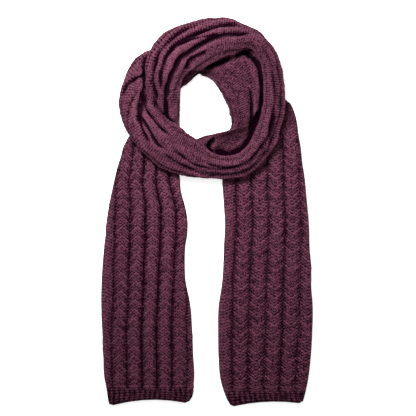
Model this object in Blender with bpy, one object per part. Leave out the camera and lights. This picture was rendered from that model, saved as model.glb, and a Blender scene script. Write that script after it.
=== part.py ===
"""A knit scarf, laid flat: one loop at the top (+Y) and two tails that run down (-Y).

The scarf is one long knitted panel with a rib border at each end.  Laid down, it is a run of stretches that
pass over and under each other, and each stretch is a closed solid lofted through cross sections.  A section
runs across the stretch between an outer and an inner edge.  It has a plain, flat underside and a top side
that is raised in ribs, one for each cable column of the knit, or pushed in by the folds of the gathered
loop.  Stretches that lie on others are lifted clear of them.

Units are metres and +Z is up.  The tables are in millimetres.
"""
import math

import bmesh
import bpy
import numpy as np
from mathutils import Vector
from mathutils.bvhtree import BVHTree

MM = 0.001
SEAM = 0.3                  # clear space between two stretches of the panel where one continues the other
LAYER_GAP = 0.3             # clear space between a stretch and what it lies on
THINNEST = 9.0              # least thickness of a stretch that is lifted over another

CABLE_REPEAT = 17.5         # length of one V of the wheat-ear cable
CABLE_POINT = 8.5           # how far the point of a V lies ahead of its arms' ends
CABLE_RELIEF = 1.7          # height of a V over the hollow between two
RIB_DEPTH = 4.4             # groove to crown of a cable column on a flat tail
LOOP_RIB_DEPTH = 5.2        # the same where the panel is gathered into the loop
BORDER_RIB_DEPTH = 1.8      # the same on the rib borders
BORDER_PITCH = 9.7          # from one rib of a border to the next
CROWN_SHARE = 0.4           # part of a rib's depth that stands over the mean surface
RIB_POWER = 0.75            # 1 gives round ribs, less gives flat ones with narrow grooves

TAIL_ROW = CABLE_REPEAT / 2  # from one section to the next along a tail
LOOP_ROW = 14.5             # the same along the loop
BORDER_ROW = 8.0            # the same along a rib border

POINTS_PER_RIB = 4
LOOP_POINTS_PER_RIB = 5
LOOP_RIBS = 9               # ribs' worth of points round a section of the loop, the underside included
LEFT_RIBS = (-3.75, 2.5)    # first and last rib on top of a tail, counted from its table's groove
RIGHT_RIBS = (-1.75, 3.75)
BORDER_RIBS = (-9.0, 9.0)   # the same on a rib border, counted from its middle
LEFT_CABLES = (-3, 2, 1)    # first and last groove of the cable columns, 1 for Vs that point up, -1 for down
RIGHT_CABLES = (-1, 4, -1)
NO_CABLES = (0, 0, 0)
UNDER_POINTS = 6            # points across the underside of a tail
LEAST_UNDER_RIBS = 1.5      # ribs of a loop's section that are always kept for its underside
TURN_POINTS = 16            # points of a plain outline round one of its edges
FLAT_POINTS = 24            # the same along its flat middle
LEAST_STEP = 1e-6           # points of a plain outline that lie nearer than this are one point
CROWD = 1.5                 # least distance between points where a tail's edge rolls under
EVEN_POINTS = (-1, 0, 1)    # neighbours across and along over which a lifted underside is evened out
EVEN_ROWS = 2

EDGE_HEIGHT = 0.42          # height of a section's widest point, as a share of its thickness
UNDER_ROUND = 0.45          # rounding of the underside's edges, as a share of the top side's
FLAT_SOFT = 0.6             # width over which a tail's edges round off, as a share of its thickness
CROWN_REACH = 0.7           # place across where the crown line has its given outer and inner heights
ROUND_FADE = (0.12, 0.45)   # shares of height between which ribs rise out of a bundle's plain underside
FLAT_FADE = (0.45, 0.9)     # the same on a flat stretch
TOP_FADE = (0.6, 0.95)      # the same between which the even ribs of a bundle's sides give way to its folds
TOP_RIB_SHARE = 0.2         # how much of the even ribs is left on top of a bundle
FOLD_FADE = 0.15            # share of a fold's length over which it comes up at each end
FEELERS = ((0.0, 1), (4.5, 8), (9.0, 12), (13.0, 12))  # radius and number of places felt for a layer below
FEELER_HEIGHT = 500.0       # height from which they are felt

WOOL = (0.115, 0.032, 0.062)
WOOL_SHADES = (1.0, 0.97, 0.94)  # neighbouring stretches differ a little
WOOL_ROUGHNESS = 0.95
SHARP_ANGLE = 60            # edges that bend by more degrees than this are shaded sharp

# Tails, from the border up to the loop.  west_x and east_x are the edges at the height y, groove_x is the
# groove between the second and third cable columns from the west or east edge, pitch is one column's width.
TAIL_COLUMNS = ("y", "west_x", "east_x", "thick", "groove_x", "pitch")
LEFT_TAIL = (
    (-334, -189, -24, 8.0, -93, 28.2),
    (-314, -193, -22, 8.5, -93, 28.4),
    (-272, -195, -24, 8.5, -93, 28.8),
    (-224, -197, -26, 8.5, -94, 28.8),
    (-173, -199, -30, 8.5, -92, 28.2),
    (-127, -198, -39, 8.5, -90, 28.4),
    (-95, -196, -40, 8.8, -89, 28.8),
    (-63, -193, -39, 9.2, -87, 29.0),
    (-37, -190, -35, 9.6, -86, 29.2),
    (-14, -188, -35, 10.0, -86, 29.2),
    (13, -184, -40, 10.5, -86, 28.4),
    (38, -179, -47, 11.0, -91, 27.0),
    (61, -174, -49, 11.5, -95, 25.8),
    (86, -168, -51, 12.0, -94, 24.0),
    (104, -162, -51, 12.5, -94, 23.0),
    (126, -156, -50, 13.0, -94, 22.0),
    (141, -146, -49, 12.0, -94, 20.5),
    (150, -140, -49, 11.5, -93, 19.5),
)
RIGHT_TAIL = (
    (-340, 34, 190, 8.0, 80, 29.5),
    (-320, 28, 194, 8.5, 80, 30.0),
    (-279, 24, 199, 8.5, 80, 31.0),
    (-232, 23, 202, 8.5, 81, 31.8),
    (-179, 24, 203, 8.5, 82, 32.0),
    (-139, 30, 200, 8.5, 83, 32.0),
    (-104, 33, 200, 8.8, 85, 31.6),
    (-66, 34, 197, 9.2, 87, 31.2),
    (-27, 36, 196, 9.5, 89, 30.8),
    (10, 34, 193, 9.8, 88, 30.6),
    (40, 32, 190, 10.0, 87, 30.4),
    (62, 31, 188, 10.0, 87, 30.4),
    (76, 32, 186, 10.0, 87, 30.4),
    (87, 65, 184, 10.0, 87, 30.0),
    (104, 87, 182, 10.0, 87, 30.0),
    (124, 109, 180, 10.0, 87, 30.0),
    (147, 128, 176, 9.5, 87, 29.5),
    (173, 141, 172, 9.5, 87, 28.5),
    (198, 148, 162, 9.0, 86, 27.5),
    (212, 151, 153, 8.5, 86, 27.0),
)

# Rib borders, from the end of the scarf up to the tail.  bow is how far the middle of a row lies up.
BORDER_COLUMNS = ("west_x", "west_y", "east_x", "east_y", "bow", "thick")
LEFT_BORDER = (
    (-184, -370, -31, -365, 10, 6.5),
    (-187, -350, -25, -348, 4, 7.5),
    (-189, -334, -24, -334, 0, 8.0),
)
RIGHT_BORDER = (
    (46, -371.5, 185, -365, 7, 6.5),
    (39, -354, 187, -352, 4, 7.5),
    (34, -340, 190, -340, 0, 8.0),
)

# Stretches of the loop.  Each row is a section from the loop's outer edge to its inner edge: floor is the
# lowest height of the underside, top_* are the heights of the crown line near the outer edge, in the middle
# and near the inner edge, soft is the width over which each edge rounds off, pitch is a rib's width along
# the surface, and shift is the rib count at the crown, which turns the ribs round the bundle.
LOOP_COLUMNS = ("out_x", "out_y", "in_x", "in_y", "floor", "top_out", "top_mid", "top_in",
                "soft", "pitch", "shift")
LOOP_TOP = (
    (-131, 152, -51, 150, 0, 14, 14, 14, 10, 19, 0.6),
    (-114, 173, -51, 167, 0, 13, 13, 13, 12, 19, 0.6),
    (-100, 191, -50, 186, 0, 14, 15, 15, 14, 19, 0.5),
    (-98, 205, -50, 201, 1, 20, 23, 23, 18, 19, 0.4),
    (-107, 219, -49, 218, 3, 31, 36, 34, 24, 19, 0.0),
    (-111, 234, -48, 238, 6, 41, 46, 43, 28, 20, -0.3),
    (-114, 258, -44, 252, 8, 48, 54, 49, 30, 20, -0.7),
    (-113, 281, -36, 263, 8, 50, 57, 51, 32, 21, -0.8),
    (-106, 301, -32, 267, 8, 50, 58, 52, 34, 21, -0.85),
    (-91, 324, -26, 268, 8, 50, 59, 53, 36, 21, -0.7),
    (-71, 343, -19, 269, 8, 50, 60, 54, 38, 21, -0.5),
    (-46, 355, -10, 272, 8, 50, 60, 55, 38, 21, -0.25),
    (-15, 363, 2, 277, 8, 50, 59, 55, 38, 21, 0.1),
    (15, 367, 17, 285, 8, 49, 58, 54, 36, 21, 0.35),
    (44, 367, 38, 294, 8, 48, 57, 53, 32, 20, 0.4),
    (68, 358, 59, 302, 8, 47, 56, 52, 26, 19, 0.3),
    (87, 349, 75, 310, 8, 46, 55, 51, 20, 18, 0.15),
    (104, 339, 87, 308, 8, 45, 53, 49, 17, 18, 0.1),
    (118, 323, 95, 299, 8, 44, 51, 47, 17, 18, 0.0),
    (131, 305, 103, 289, 8, 43, 49, 45, 18, 18, 0.0),
    (140, 282, 107, 276, 8, 41, 47, 43, 18, 18, 0.0),
    (147, 251, 110, 252, 7, 39, 45, 41, 19, 18, 0.0),
    (150, 218, 111, 224, 6, 38, 44, 41, 19, 18, 0.0),
    (150, 192, 108, 196, 5, 38, 44, 41, 20, 18, 0.0),
    (142, 163, 101, 171, 5, 38, 44, 42, 20, 18, 0.1),
    (135, 137, 92, 148, 5, 38, 44, 42, 21, 18, 0.15),
    (119, 111, 82, 129, 5, 38, 44, 42, 21, 18, 0.25),
)
LOOP_FRONT = (
    (119, 111, 82, 129, 6, 38, 44, 42, 21, 18, 0.25),
    (103, 91, 71, 117, 7, 38, 44, 42, 20, 18, 0.25),
    (86, 76, 63, 111, 8, 38, 44, 41, 20, 18, 0.25),
    (61, 65, 49, 107, 8, 37, 43, 40, 20, 18, 0.1),
    (34, 64, 30, 105, 6, 36, 42, 38, 20, 18, 0.0),
    (10, 63.5, 12, 112, 5, 35, 41, 37, 22, 18, 0.0),
    (-13, 65, -5, 125, 5, 35, 41, 37, 25, 19, 0.0),
    (-38, 69, -19, 137, 6, 36, 42, 38, 25, 20, 0.0),
    (-63, 76, -34, 146, 8, 37, 44, 40, 24, 20, 0.05),
    (-87, 86, -48, 156, 9, 38, 46, 42, 24, 20, 0.1),
    (-108, 104, -63, 167, 9, 38, 46, 43, 24, 20, 0.15),
    (-127, 122, -76, 176, 8, 36, 45, 43, 24, 20, 0.15),
    (-145, 147, -86, 187, 6, 33, 42, 41, 24, 20, 0.1),
    (-156, 167, -95, 196, 4, 30, 38, 36, 24, 20, -0.1),
    (-162, 189, -103, 206, 2, 27, 34, 31, 26, 19, -0.3),
    (-164, 211, -107, 218, 0, 25, 31, 27, 24, 19, -0.3),
    (-162, 231, -110, 227, 0, 24, 28, 24, 23, 19, -0.3),
    (-156, 249, -108, 232, 0, 24, 27, 23, 23, 19, -0.3),
    (-148, 269, -101, 231, 0, 24, 27, 22, 25, 20, -0.3),
    (-137, 286, -92, 230, 0, 24, 26, 22, 27, 20, -0.3),
    (-122, 298, -84, 228, 0, 24, 26, 22, 29, 21, -0.3),
    (-105, 306, -76, 227, 0, 23, 26, 22, 30, 21, -0.3),
)
INNER_STRAND = (
    (-105, 306, -76, 227, 0, 23, 26, 22, 30, 21, -0.3),
    (-84, 323, -59, 231, 0, 22, 26, 22, 30, 21, -0.3),
    (-57, 336, -43, 239, 0, 22, 26, 22, 30, 21, -0.25),
    (-27, 345, -29, 249, 0, 22, 26, 22, 30, 21, -0.2),
    (6, 348, -14, 262, 0, 20, 23, 19, 30, 21, -0.1),
    (38, 346, -2, 259, 0, 19, 22, 19, 28, 21, 0.0),
    (68, 337, 9, 252, 0, 20, 25, 23, 27, 21, 0.1),
    (95, 321, 17, 243, 0, 20, 26, 25, 26, 21, 0.15),
    (116, 300, 28, 229, 0, 18, 25, 26, 24, 20, 0.2),
    (131, 276, 37, 214, 0, 16, 24, 27, 23, 20, 0.3),
    (141, 249, 44, 199, 0, 14, 22, 28, 22, 19, 0.35),
    (144, 224, 48, 182, 0, 12, 20, 28, 21, 19, 0.4),
    (142, 200, 49, 167, 0, 11, 19, 28, 20, 19, 0.45),
    (135, 175, 45, 156, 0, 10, 17, 27, 18, 19, 0.6),
    (124, 151, 29, 151, 0, 10, 14, 24, 16, 19, 0.9),
    (106, 128, 10, 147, 0, 9, 11, 20, 15, 19, 1.3),
    (86, 108, -5, 142, 0, 9, 9, 18, 13, 19, 1.6),
    (65, 93, -17, 136, 0, 9, 9, 16, 11, 19, 1.8),
    (50, 86, -22, 125, 0, 9, 9, 12, 10, 19, 1.8),
)
# Grooves and ridges on top of the loop.  from_row and to_row are places in the stretch's table, across_0 to
# across_4 say where the fold lies, from the outer edge (-1) to the inner edge (1), at five even places
# between them, and a ridge has a depth below zero.
FOLD_COLUMNS = ("from_row", "to_row", "across_0", "across_1", "across_2", "across_3", "across_4",
                "width", "depth")
TOP_FOLDS = (
    (3.0, 12.5, -0.60, -0.65, -0.64, -0.73, -0.90, 4.5, 3.2),
    (4.0, 15.5, -0.25, -0.20, -0.40, -0.57, -0.95, 4.5, 4.2),
    (8.5, 13.5, -0.22, -0.31, -0.30, -0.28, -0.28, 4.0, 3.0),
    (3.5, 17.0, 0.12, 0.42, 0.22, -0.15, -0.60, 5.5, 5.5),
    (-1.0, 5.5, 0.25, 0.12, 0.02, 0.06, 0.25, 4.5, 5.0),
    (7.5, 12.5, 0.92, 0.78, 0.60, 0.50, 0.40, 4.0, 4.5),
    (14.5, 20.5, -0.35, -0.59, -0.52, -0.46, -0.60, 8.0, -2.0),
    (17.5, 25.0, -0.08, -0.05, 0.02, -0.06, -0.15, 7.0, 2.2),
    (16.0, 29.0, -0.80, -0.76, -0.74, -0.74, -0.74, 4.5, 1.6),
    (23.0, 29.0, -0.30, -0.28, -0.22, -0.20, -0.20, 5.0, 3.2),
)
FRONT_FOLDS = (
    (-3.0, 6.0, -0.20, -0.20, -0.15, -0.03, 0.02, 5.0, 3.4),
    (-3.0, 4.0, -0.74, -0.74, -0.74, -0.76, -0.80, 4.5, 1.6),
    (3.0, 9.5, -0.82, -0.70, -0.50, -0.32, -0.15, 5.0, -2.5),
    (3.0, 9.5, -0.97, -0.88, -0.70, -0.54, -0.38, 4.5, 2.8),
    (8.5, 14.5, 0.48, 0.50, 0.53, 0.56, 0.62, 4.5, 5.0),
    (7.5, 17.0, -0.18, -0.16, -0.02, 0.48, 0.95, 5.0, 7.0),
    (7.8, 21.0, -0.62, -0.40, 0.04, 0.40, 0.45, 5.0, 6.0),
    (9.8, 21.0, -0.96, -0.72, -0.72, -0.30, 0.00, 5.0, 5.0),
)
INNER_FOLDS = (
    (8.5, 15.5, 0.32, 0.27, 0.20, 0.05, -0.20, 6.0, 5.5),
    (6.5, 15.5, -0.62, -0.42, -0.24, -0.10, -0.35, 6.5, 8.0),
    (14.0, 18.5, -0.35, -0.50, -0.30, 0.20, 0.50, 7.0, 4.5),
)
TOP_START_ROWS = 5          # sections of the built loop_top that lie under the loop's front
FRONT_END_ROWS = 7          # sections of the built loop_front that lie under the loop's top


def smooth_step(value, low, high):
    """0 below low, 1 above high, with an even ease between them."""
    share = np.clip((value - low) / (high - low), 0.0, 1.0)
    return share * share * (3.0 - 2.0 * share)


def columns(names, rows):
    """A table's columns by name."""
    return dict(zip(names, np.array(rows, dtype=float).T))


def tail_rows(rows):
    """A tail's table as sections of a loop stretch: outer is west and inner is east."""
    given = columns(TAIL_COLUMNS, rows)
    middle = (given["west_x"] + given["east_x"]) / 2
    soft = given["thick"] * FLAT_SOFT
    return np.column_stack((
        given["west_x"], given["y"], given["east_x"], given["y"], np.zeros(len(rows)),
        given["thick"], given["thick"], given["thick"],
        np.minimum(soft, (given["east_x"] - given["west_x"]) / 2), given["pitch"],
        (middle - given["groove_x"]) / given["pitch"], np.zeros(len(rows)), np.arange(len(rows))))


def border_rows(rows):
    """A border's table as sections of a loop stretch."""
    given = columns(BORDER_COLUMNS, rows)
    return np.column_stack((
        given["west_x"], given["west_y"], given["east_x"], given["east_y"], np.zeros(len(rows)),
        given["thick"], given["thick"], given["thick"], given["thick"] * FLAT_SOFT,
        np.full(len(rows), BORDER_PITCH), np.zeros(len(rows)), given["bow"], np.arange(len(rows))))


def loop_rows(rows):
    """A loop table with a bow of nothing, and each row's place in it."""
    return np.column_stack((np.array(rows, dtype=float), np.zeros(len(rows)), np.arange(len(rows))))


def eased(rows, spacing):
    """Sections at an even spacing along a stretch, on smooth curves through its table's rows."""
    middle = (rows[:, 0:2] + rows[:, 2:4]) / 2
    along = np.concatenate(([0.0], np.cumsum(np.linalg.norm(np.diff(middle, axis=0), axis=1))))
    slope = np.gradient(rows, along, axis=0)
    count = max(2, round(along[-1] / spacing)) + 1
    place = np.linspace(0.0, along[-1], count)
    left = np.clip(np.searchsorted(along, place, side="right") - 1, 0, len(along) - 2)
    step = (along[left + 1] - along[left])[:, None]
    u = (place - along[left])[:, None] / step
    return (rows[left] * (1 + 2 * u) * (1 - u) ** 2 + slope[left] * step * u * (1 - u) ** 2
            + rows[left + 1] * u * u * (3 - 2 * u) + slope[left + 1] * step * u * u * (u - 1))


def crown(tops, across):
    """Height of the crown line at each place across, a parabola through the three given heights."""
    out, mid, inner = tops
    bend = (out + inner - 2 * mid) / 2
    tilt = (inner - out) / 2
    share = np.clip(across / CROWN_REACH, -1.0, 1.0)
    return mid + tilt * share + bend * share * share


def outline(half, soft, floor, tops):
    """A section's plain outline, clockwise from its outer edge: place, height, height's share and length."""
    turn = np.linspace(0.0, math.pi / 2, TURN_POINTS)
    flat = np.linspace(0.0, 1.0, FLAT_POINTS)[1:-1]
    width = min(soft, half)
    low_width = width * UNDER_ROUND
    top_edge = width * (1 - np.cos(turn))
    low_edge = low_width * (1 - np.cos(turn))
    top_x = np.concatenate((top_edge - half, width - half + flat * 2 * (half - width),
                            half - top_edge[::-1]))
    top_lift = np.concatenate((np.sin(turn), np.ones(len(flat)), np.sin(turn[::-1])))
    low_x = np.concatenate((half - low_edge, half - low_width - flat * 2 * (half - low_width),
                            low_edge[::-1] - half))
    low_lift = np.concatenate((1 - np.sin(turn), np.zeros(len(flat)), 1 - np.sin(turn[::-1])))
    x = np.concatenate((top_x, low_x[1:]))
    lift = np.concatenate((EDGE_HEIGHT + (1 - EDGE_HEIGHT) * top_lift, EDGE_HEIGHT * low_lift[1:]))
    across = x / half
    height = floor + lift * (crown(tops, across) - floor)
    steps = np.hypot(np.diff(x), np.diff(height))
    length = np.concatenate(([0.0], np.cumsum(steps)))
    apart = np.concatenate(([True], steps > LEAST_STEP))
    return x[apart], height[apart], lift[apart], length[apart], length[len(top_x) - 1]


def round_places(ribs, pitch, shift, top_length, whole_length):
    """Ribs all round a bundle, evenly wide on top and the rest below: each point's rib, place and relief."""
    rib = np.arange(ribs * LOOP_POINTS_PER_RIB) / LOOP_POINTS_PER_RIB
    shown = min(top_length / pitch, ribs - LEAST_UNDER_RIBS)
    from_crown = (rib - shift + ribs / 2) % ribs - ribs / 2
    on_top = top_length * (0.5 + from_crown / shown)
    under_share = (from_crown % ribs - shown / 2) / (ribs - shown)
    under = top_length + under_share * (whole_length - top_length)
    return rib, np.where(np.abs(from_crown) <= shown / 2, on_top, under), 1.0


def flat_places(ribs, pitch, shift, top_length, whole_length):
    """Ribs across the top of a flat stretch, then its underside: each point's rib, place and relief."""
    first, last = ribs
    count = round((last - first) * POINTS_PER_RIB) + 1
    rib = np.linspace(first, last, count)
    crowd = min(CROWD, top_length / (count + 1)) * (np.arange(count) + 0.5)
    even = top_length / 2 + (rib - shift) * pitch
    on_top = np.clip(even, crowd, top_length - crowd[::-1])
    on_top[[0, -1]] = (0.0, top_length)
    free = np.concatenate((np.abs(on_top - even) < CROWD, np.zeros(UNDER_POINTS)))
    under_share = (np.arange(UNDER_POINTS) + 0.5) / UNDER_POINTS
    under = top_length + under_share * (whole_length - top_length)
    return np.concatenate((rib, np.zeros(UNDER_POINTS))), np.concatenate((on_top, under)), free


def highest_below(lower, x, y):
    """The highest point of the lower stretches at and around a place, in millimetres."""
    best = 0.0
    for radius, number in FEELERS:
        for k in range(number):
            angle = 2 * math.pi * k / number
            start = Vector((x + radius * math.cos(angle), y + radius * math.sin(angle), FEELER_HEIGHT))
            for tree in lower:
                hit = tree.ray_cast(start, Vector((0, 0, -1)))[0]
                if hit is not None:
                    best = max(best, hit.z + LAYER_GAP)
    return best


def fold_depth(folds, place, at_x, half):
    """How far the folds push in the points of a section that is at a place in its table."""
    depth = np.zeros(len(at_x))
    for row in folds:
        fold = dict(zip(FOLD_COLUMNS, row))
        share = (place - fold["from_row"]) / (fold["to_row"] - fold["from_row"])
        shown = smooth_step(share, 0.0, FOLD_FADE) * smooth_step(1.0 - share, 0.0, FOLD_FADE)
        knots = [fold[name] for name in FOLD_COLUMNS if name.startswith("across")]
        middle = half * np.interp(share, np.linspace(0.0, 1.0, len(knots)), knots)
        depth += fold["depth"] * shown * np.exp(-((at_x - middle) / fold["width"]) ** 2)
    return depth


def evened(base):
    """Heights by section and point, never less than they were, without steps between neighbours."""
    for choose in (np.max, np.mean):
        near = [np.roll(base, turn, axis=1) for turn in EVEN_POINTS]
        padded = np.pad(choose(near, axis=0), ((EVEN_ROWS, EVEN_ROWS), (0, 0)), mode="edge")
        base = choose([padded[k:k + len(base)] for k in range(2 * EVEN_ROWS + 1)], axis=0)
    return base


def stretch(rows, ribs, depth, cables=NO_CABLES, folds=(), lower=()):
    """The points of a stretch, one ring for each section, in millimetres."""
    flat = isinstance(ribs, tuple)
    places, fade = (flat_places, FLAT_FADE) if flat else (round_places, ROUND_FADE)
    plans, felt, tops_at, lifts, raised = [], [], [], [], []
    for number, row in enumerate(rows):
        outer, inner, floor = row[0:2], row[2:4], row[4]
        tops, soft, pitch, shift, bow, table_place = row[5:8], *row[8:13]
        half = np.linalg.norm(inner - outer) / 2
        side = (inner - outer) / (2 * half)
        ahead = np.array((-side[1], side[0]))
        x, height, lift, length, top_length = outline(half, soft, floor, tops)
        rib, place, free = places(ribs, pitch, shift, top_length, length[-1])
        at_x = np.interp(place, length, x)
        at_lift = np.interp(place, length, lift)
        lean_x = -np.interp(place, length, np.gradient(height, length))
        lean_z = np.interp(place, length, np.gradient(x, length))
        shown = smooth_step(at_lift, *fade) * free
        relief = depth * (np.abs(np.sin(math.pi * rib)) ** RIB_POWER - 1 + CROWN_SHARE)
        if not flat:
            on_top = smooth_step(at_lift, *TOP_FADE)
            relief = relief * (1 - (1 - TOP_RIB_SHARE) * on_top)
            relief = relief - on_top * fold_depth(folds, table_place, at_x, half)
        knit = (rib > cables[0]) & (rib < cables[1]) & (0 < number < len(rows) - 1)
        relief = relief + knit * CABLE_RELIEF * np.sin(math.pi * rib) ** 2 * (1 if number % 2 else -1)
        relief = relief * shown
        point = cables[2] * knit * shown * CABLE_POINT * (1 - np.abs(2 * (rib % 1) - 1))
        plan = (outer + inner) / 2 + np.outer(at_x + lean_x * relief, side)
        plan = plan + np.outer(bow * (1 - (at_x / half) ** 2) + point, ahead)
        plans.append(plan)
        felt.append([max(floor, highest_below(lower, *point)) for point in plan])
        tops_at.append(crown(tops, at_x / half))
        lifts.append(at_lift)
        raised.append(lean_z * relief)
    base = evened(np.array(felt)) if lower else np.array(felt)
    top = np.maximum(tops_at, base + THINNEST)
    z = base + np.array(lifts) * (top - base) + np.array(raised)
    return [np.column_stack(ring) for ring in zip(plans, z)]


def ring_faces(rings):
    """Faces between neighbouring rings."""
    size = len(rings[0])
    return [
        (k * size + j, k * size + (j + 1) % size, (k + 1) * size + (j + 1) % size, (k + 1) * size + j)
        for k in range(len(rings) - 1) for j in range(size)
    ]


def strip(upper, lower, x):
    """Triangles between two chains of points from west to east that share their first and last points."""
    faces = []
    i = j = 0
    while i < len(upper) - 1 or j < len(lower) - 1:
        use_upper = j == len(lower) - 1 or (i < len(upper) - 1 and x[upper[i + 1]] <= x[lower[j + 1]])
        ahead = upper[i + 1] if use_upper else lower[j + 1]
        if len({lower[j], upper[i], ahead}) == 3:
            faces.append((lower[j], upper[i], ahead))
        i += use_upper
        j += not use_upper
    return faces


def flat_cap(ring, start):
    """The end of a flat stretch, which may be bowed: a strip from its top side to its underside."""
    size = len(ring)
    east = size - UNDER_POINTS - 1
    upper = list(range(east + 1))
    lower = [0, *range(size - 1, east, -1), east]
    return [tuple(start + corner for corner in face) for face in strip(upper, lower, ring[:, 0])]


def feeler_tree(rings):
    """A search tree of the skin between rings."""
    points = [Vector(point) for ring in rings for point in ring]
    return BVHTree.FromPolygons(points, ring_faces(rings))


def wool(name, shade):
    """A dyed wool material, lighter or darker by shade."""
    material = bpy.data.materials.new(name)
    material.use_nodes = True
    shader = material.node_tree.nodes["Principled BSDF"]
    shader.inputs["Base Color"].default_value = (*(channel * shade for channel in WOOL), 1.0)
    shader.inputs["Roughness"].default_value = WOOL_ROUGHNESS
    shader.inputs["Metallic"].default_value = 0.0
    return material


def add_stretch(name, rings, flat, centre, shade, collection):
    """A stretch as a named solid with its own material."""
    last = (len(rings) - 1) * len(rings[0])
    if flat:
        start = [face[::-1] for face in flat_cap(rings[0], 0)]
        end = flat_cap(rings[-1], last)
    else:
        start = [tuple(range(len(rings[0])))[::-1]]
        end = [tuple(range(last, last + len(rings[0])))]
    shape = bmesh.new()
    points = [shape.verts.new(((x - centre[0]) * MM, (y - centre[1]) * MM, z * MM))
              for ring in rings for x, y, z in ring]
    for corners in ring_faces(rings):
        shape.faces.new([points[i] for i in corners])
    caps = [shape.faces.new([points[i] for i in corners]) for corners in (*start, *end)]
    bmesh.ops.triangulate(shape, faces=caps, ngon_method="EAR_CLIP")
    mesh = bpy.data.meshes.new(name)
    shape.to_mesh(mesh)
    shape.free()
    mesh.shade_smooth()
    mesh.set_sharp_from_angle(angle=math.radians(SHARP_ANGLE))
    mesh.materials.append(wool(name + "_wool", shade))
    piece = bpy.data.objects.new(name, mesh)
    collection.objects.link(piece)
    return piece


def ends_apart(rings, start, end):
    """Rings with the first and last moved in along the stretch by half a seam."""
    rings = [ring.copy() for ring in rings]
    for use, at, beside in ((start, 0, 1), (end, -1, -2)):
        if use:
            along = (rings[beside] - rings[at]).mean(axis=0)
            along[2] = 0.0
            rings[at] = rings[at] + along / np.linalg.norm(along) * SEAM / 2
    return rings


def build():
    """All stretches, from the lowest to the highest, and then the objects."""
    left_border = stretch(eased(border_rows(LEFT_BORDER), BORDER_ROW), BORDER_RIBS, BORDER_RIB_DEPTH)
    right_border = stretch(eased(border_rows(RIGHT_BORDER), BORDER_ROW), BORDER_RIBS, BORDER_RIB_DEPTH)
    left_tail = stretch(eased(tail_rows(LEFT_TAIL), TAIL_ROW), LEFT_RIBS, RIB_DEPTH, LEFT_CABLES)
    right_tail = stretch(eased(tail_rows(RIGHT_TAIL), TAIL_ROW), RIGHT_RIBS, RIB_DEPTH, RIGHT_CABLES)
    inner = stretch(eased(loop_rows(INNER_STRAND), LOOP_ROW), LOOP_RIBS, LOOP_RIB_DEPTH, folds=INNER_FOLDS)
    front = eased(loop_rows(LOOP_FRONT), LOOP_ROW)
    top = eased(loop_rows(LOOP_TOP), LOOP_ROW)
    front_end = stretch(front[-FRONT_END_ROWS:], LOOP_RIBS, LOOP_RIB_DEPTH)
    inner[0] = front_end[-1].copy()
    below_top = [feeler_tree(rings) for rings in (right_tail, inner, front_end)]
    loop_top = stretch(top, LOOP_RIBS, LOOP_RIB_DEPTH, folds=TOP_FOLDS, lower=below_top)
    below_front = [feeler_tree(rings) for rings in (left_tail, right_tail, inner, loop_top[:TOP_START_ROWS])]
    front_start = stretch(front[:-FRONT_END_ROWS], LOOP_RIBS, LOOP_RIB_DEPTH, folds=FRONT_FOLDS,
                          lower=below_front)
    front_start[0] = loop_top[-1].copy()
    solids = {
        "left_border": ends_apart(left_border, False, True),
        "left_tail": ends_apart(left_tail, True, True),
        "loop_top": ends_apart(loop_top, True, True),
        "loop_front": ends_apart(front_start + front_end, True, True),
        "inner_strand": ends_apart(inner, True, False),
        "right_tail": ends_apart(right_tail, True, False),
        "right_border": ends_apart(right_border, False, True),
    }
    everything = np.concatenate([ring for rings in solids.values() for ring in rings])
    centre = (everything.min(axis=0) + everything.max(axis=0)) / 2
    collection = bpy.data.collections.new("knit_scarf")
    bpy.context.scene.collection.children.link(collection)
    for number, (name, rings) in enumerate(solids.items()):
        flat = name.endswith(("tail", "border"))
        add_stretch(name, rings, flat, centre, WOOL_SHADES[number % len(WOOL_SHADES)], collection)


for old in list(bpy.data.objects):
    bpy.data.objects.remove(old, do_unlink=True)
build()
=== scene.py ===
"""The looks of a knit scarf, laid flat with one loop and two tails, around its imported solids.

Each stretch of the knitted panel gets a fine skin.  It is lofted through the same cross sections as the
solid that it stands for, from the same tables, and is raised in the panel's cable columns, the arms of its
wheat-ear cables, its rib borders, its folds and creases and its small unevenness.  The tails are closed
panels and the stretches of the loop are tubes with an inner wall.

Units are metres and +Z is up.  The tables are in millimetres, apart from the paths of the creases.
"""
import math
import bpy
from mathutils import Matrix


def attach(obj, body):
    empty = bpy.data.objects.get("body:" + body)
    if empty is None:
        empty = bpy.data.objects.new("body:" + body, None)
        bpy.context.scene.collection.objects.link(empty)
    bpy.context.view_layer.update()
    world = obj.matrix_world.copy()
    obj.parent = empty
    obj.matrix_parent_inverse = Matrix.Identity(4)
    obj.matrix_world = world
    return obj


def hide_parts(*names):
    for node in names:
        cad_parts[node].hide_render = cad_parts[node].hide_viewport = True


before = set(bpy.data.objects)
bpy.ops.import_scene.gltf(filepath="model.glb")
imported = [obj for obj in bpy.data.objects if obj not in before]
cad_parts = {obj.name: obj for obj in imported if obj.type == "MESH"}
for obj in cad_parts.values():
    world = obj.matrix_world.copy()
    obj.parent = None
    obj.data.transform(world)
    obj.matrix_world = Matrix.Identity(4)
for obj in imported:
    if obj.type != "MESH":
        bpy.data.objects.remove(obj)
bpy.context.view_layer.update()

from types import SimpleNamespace

import bpy
import numpy as np
from mathutils import Vector
from mathutils.bvhtree import BVHTree

MM = 0.001
LAYER_GAP = 0.3             # clear space between a stretch and what it lies on
THINNEST = 9.0              # least thickness of a stretch lifted over another

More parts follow.
